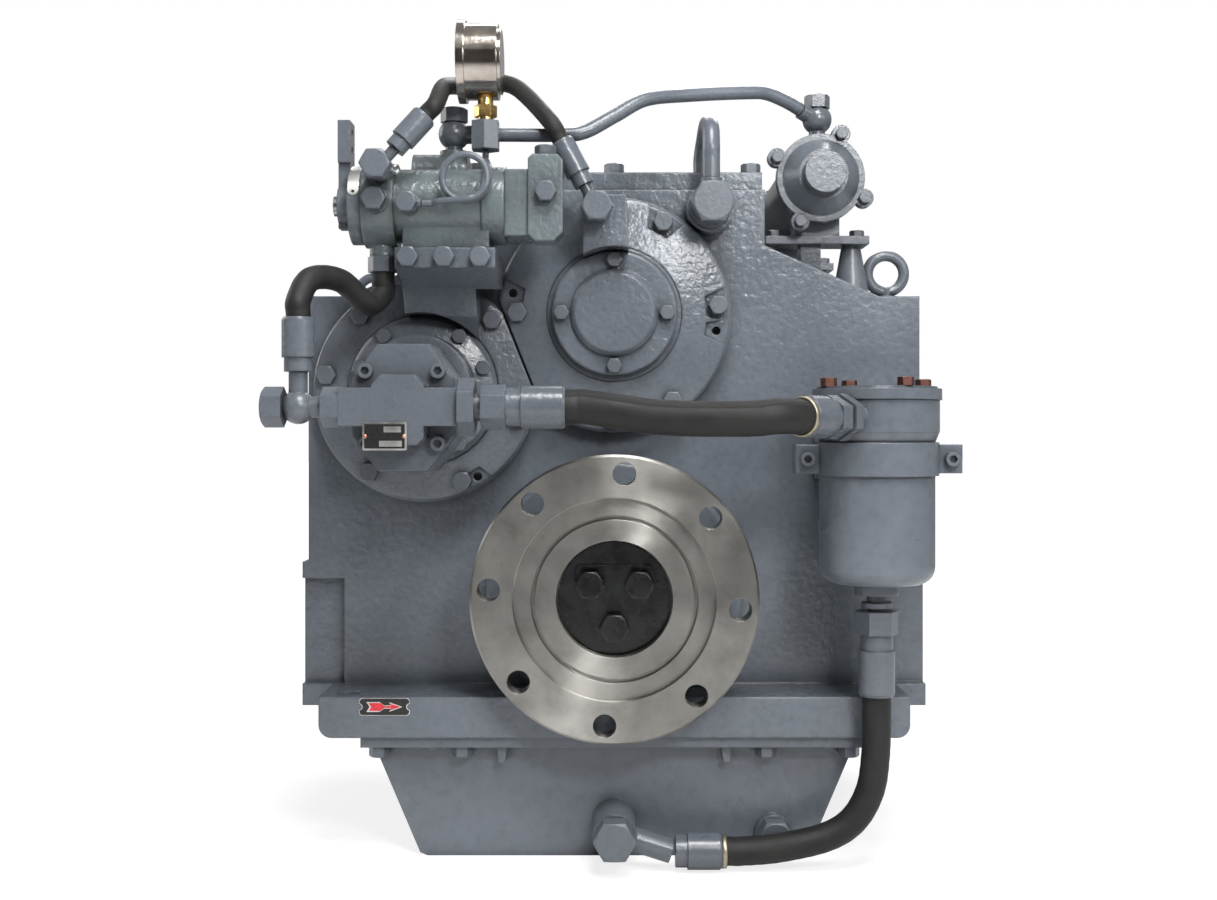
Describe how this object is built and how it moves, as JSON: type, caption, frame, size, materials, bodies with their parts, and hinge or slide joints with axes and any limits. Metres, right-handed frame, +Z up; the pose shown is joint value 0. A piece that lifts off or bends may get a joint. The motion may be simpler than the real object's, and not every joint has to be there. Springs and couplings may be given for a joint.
{
  "type": "marine gearbox",
  "caption": "Marine reversing reduction gearbox: cast casing with output flange, oil pump, control valve with lever, gauge, filter, cooler, hoses and geared clutch shafts inside.",
  "frame": {"origin": "centre of the output flange's face", "axes": "+X to the right seen from aft, +Y forward to the engine along the shafts, +Z up"},
  "size_m": [0.617, 0.6672, 0.772],
  "materials": {
    "casing_paint": "semi-gloss paint over rough casting",
    "fitting_paint": "semi-gloss paint over smooth metal",
    "machined_steel": "bare turned face with light oil film",
    "inner_steel": "ground steel, oiled",
    "dark_steel": "blackened steel",
    "gauge_chrome": "polished",
    "gauge_glass": "clear",
    "pointer_black": "matt",
    "stem_brass": "dull brass",
    "rusty_steel": "rust-brown primed heads",
    "hose_rubber": "smooth rubber cover",
    "seal_rubber": "matt rubber",
    "filter_paper": "pleated paper",
    "friction_plate": "sintered friction faces"
  },
  "bodies": {
    "housing": {"casing": "casing_paint", "front_plate": "casing_paint", "oil_sump": "casing_paint", "top_cover": "casing_paint", "input_cover": "casing_paint", "reverse_cover": "casing_paint", "output_cover": "casing_paint", "input_end_cap": "fitting_paint", "hex_bolts": "fitting_paint", "shaft_bearings": "inner_steel", "shaft_seals": "seal_rubber", "pump_adapter": "fitting_paint", "pump_body": "fitting_paint", "pump_cover": "fitting_paint", "socket_screws": "fitting_paint", "valve_body": "fitting_paint", "valve_end_covers": "fitting_paint", "gauge_case": "gauge_chrome", "gauge_glass": "gauge_glass", "gauge_stem": "stem_brass", "filter_head": "fitting_paint", "filter_lid": "fitting_paint", "filter_lid_bolts": "rusty_steel", "filter_bowl": "fitting_paint", "filter_element": "filter_paper", "filter_clamp": "fitting_paint", "cooler_shell": "fitting_paint", "cooler_end_caps": "fitting_paint", "cooler_bracket": "fitting_paint", "lifting_eyes": "fitting_paint", "suction_hose": "hose_rubber", "sump_hose": "hose_rubber", "pressure_hose": "hose_rubber", "lube_hose": "hose_rubber", "hose_ferrules": "fitting_paint", "hose_unions": "fitting_paint", "banjo_bolts": "fitting_paint", "steel_pipes": "fitting_paint", "gauge_tube": "fitting_paint"},
    "input": {"input_shaft": "inner_steel", "input_coupling": "dark_steel", "input_drum": "inner_steel", "ahead_plates": "friction_plate"},
    "ahead_piston": {"ahead_piston": "inner_steel"},
    "reverse": {"reverse_shaft": "inner_steel", "reverse_drum": "inner_steel", "astern_plates": "friction_plate", "pump_drive_gear": "inner_steel"},
    "astern_piston": {"astern_piston": "inner_steel"},
    "pump_driven": {"pump_driven_gear": "inner_steel"},
    "output": {"output_shaft": "inner_steel", "output_gear": "inner_steel", "output_flange": "machined_steel", "keeper_plate": "dark_steel", "shaft_end_bolts": "dark_steel"},
    "ahead_pinion": {"ahead_pinion": "inner_steel"},
    "astern_pinion": {"astern_pinion": "inner_steel"},
    "lever": {"control_lever": "fitting_paint", "valve_spool": "inner_steel"},
    "pointer": {"gauge_pointer": "pointer_black"}
  },
  "joints": [
    {"name": "input_turn", "type": "hinge", "parent": "housing", "child": "input", "pos_m": [0, 0.2, 0.264], "axis": [0, 1, 0], "continuous": true},
    {"name": "reverse_turn", "type": "hinge", "parent": "housing", "child": "reverse", "pos_m": [-0.182, 0.2, 0.19124], "axis": [0, 1, 0], "continuous": true},
    {"name": "pump_turn", "type": "hinge", "parent": "housing", "child": "pump_driven", "pos_m": [-0.182, 0, 0.15324], "axis": [0, 1, 0], "continuous": true},
    {"name": "output_turn", "type": "hinge", "parent": "housing", "child": "output", "pos_m": [0, 0.2, 0], "axis": [0, 1, 0], "continuous": true},
    {"name": "ahead_pinion_turn", "type": "hinge", "parent": "housing", "child": "ahead_pinion", "pos_m": [0, 0.2, 0.264], "axis": [0, 1, 0], "continuous": true},
    {"name": "astern_pinion_turn", "type": "hinge", "parent": "housing", "child": "astern_pinion", "pos_m": [-0.182, 0.2, 0.19124], "axis": [0, 1, 0], "continuous": true},
    {"name": "ahead_piston_slide", "type": "slide", "parent": "input", "child": "ahead_piston", "axis": [0, 1, 0], "range_m": [0, 0.004]},
    {"name": "astern_piston_slide", "type": "slide", "parent": "reverse", "child": "astern_piston", "axis": [0, 1, 0], "range_m": [0, 0.004]},
    {"name": "lever_swing", "type": "hinge", "parent": "housing", "child": "lever", "pos_m": [-0.24, 0.01, 0.356], "axis": [1, 0, 0], "range_deg": [-35, 35]},
    {"name": "pointer_swing", "type": "hinge", "parent": "housing", "child": "pointer", "pos_m": [-0.13, 0.01, 0.487], "axis": [1, 0, 0], "range_deg": [0, 270]}
  ],
  "couplings": [
    {"joint": "reverse_turn", "follows": "input_turn", "ratio": -1},
    {"joint": "pump_turn", "follows": "input_turn", "ratio": 1},
    {"joint": "ahead_pinion_turn", "follows": "output_turn", "ratio": -3},
    {"joint": "astern_pinion_turn", "follows": "output_turn", "ratio": -3}
  ]
}
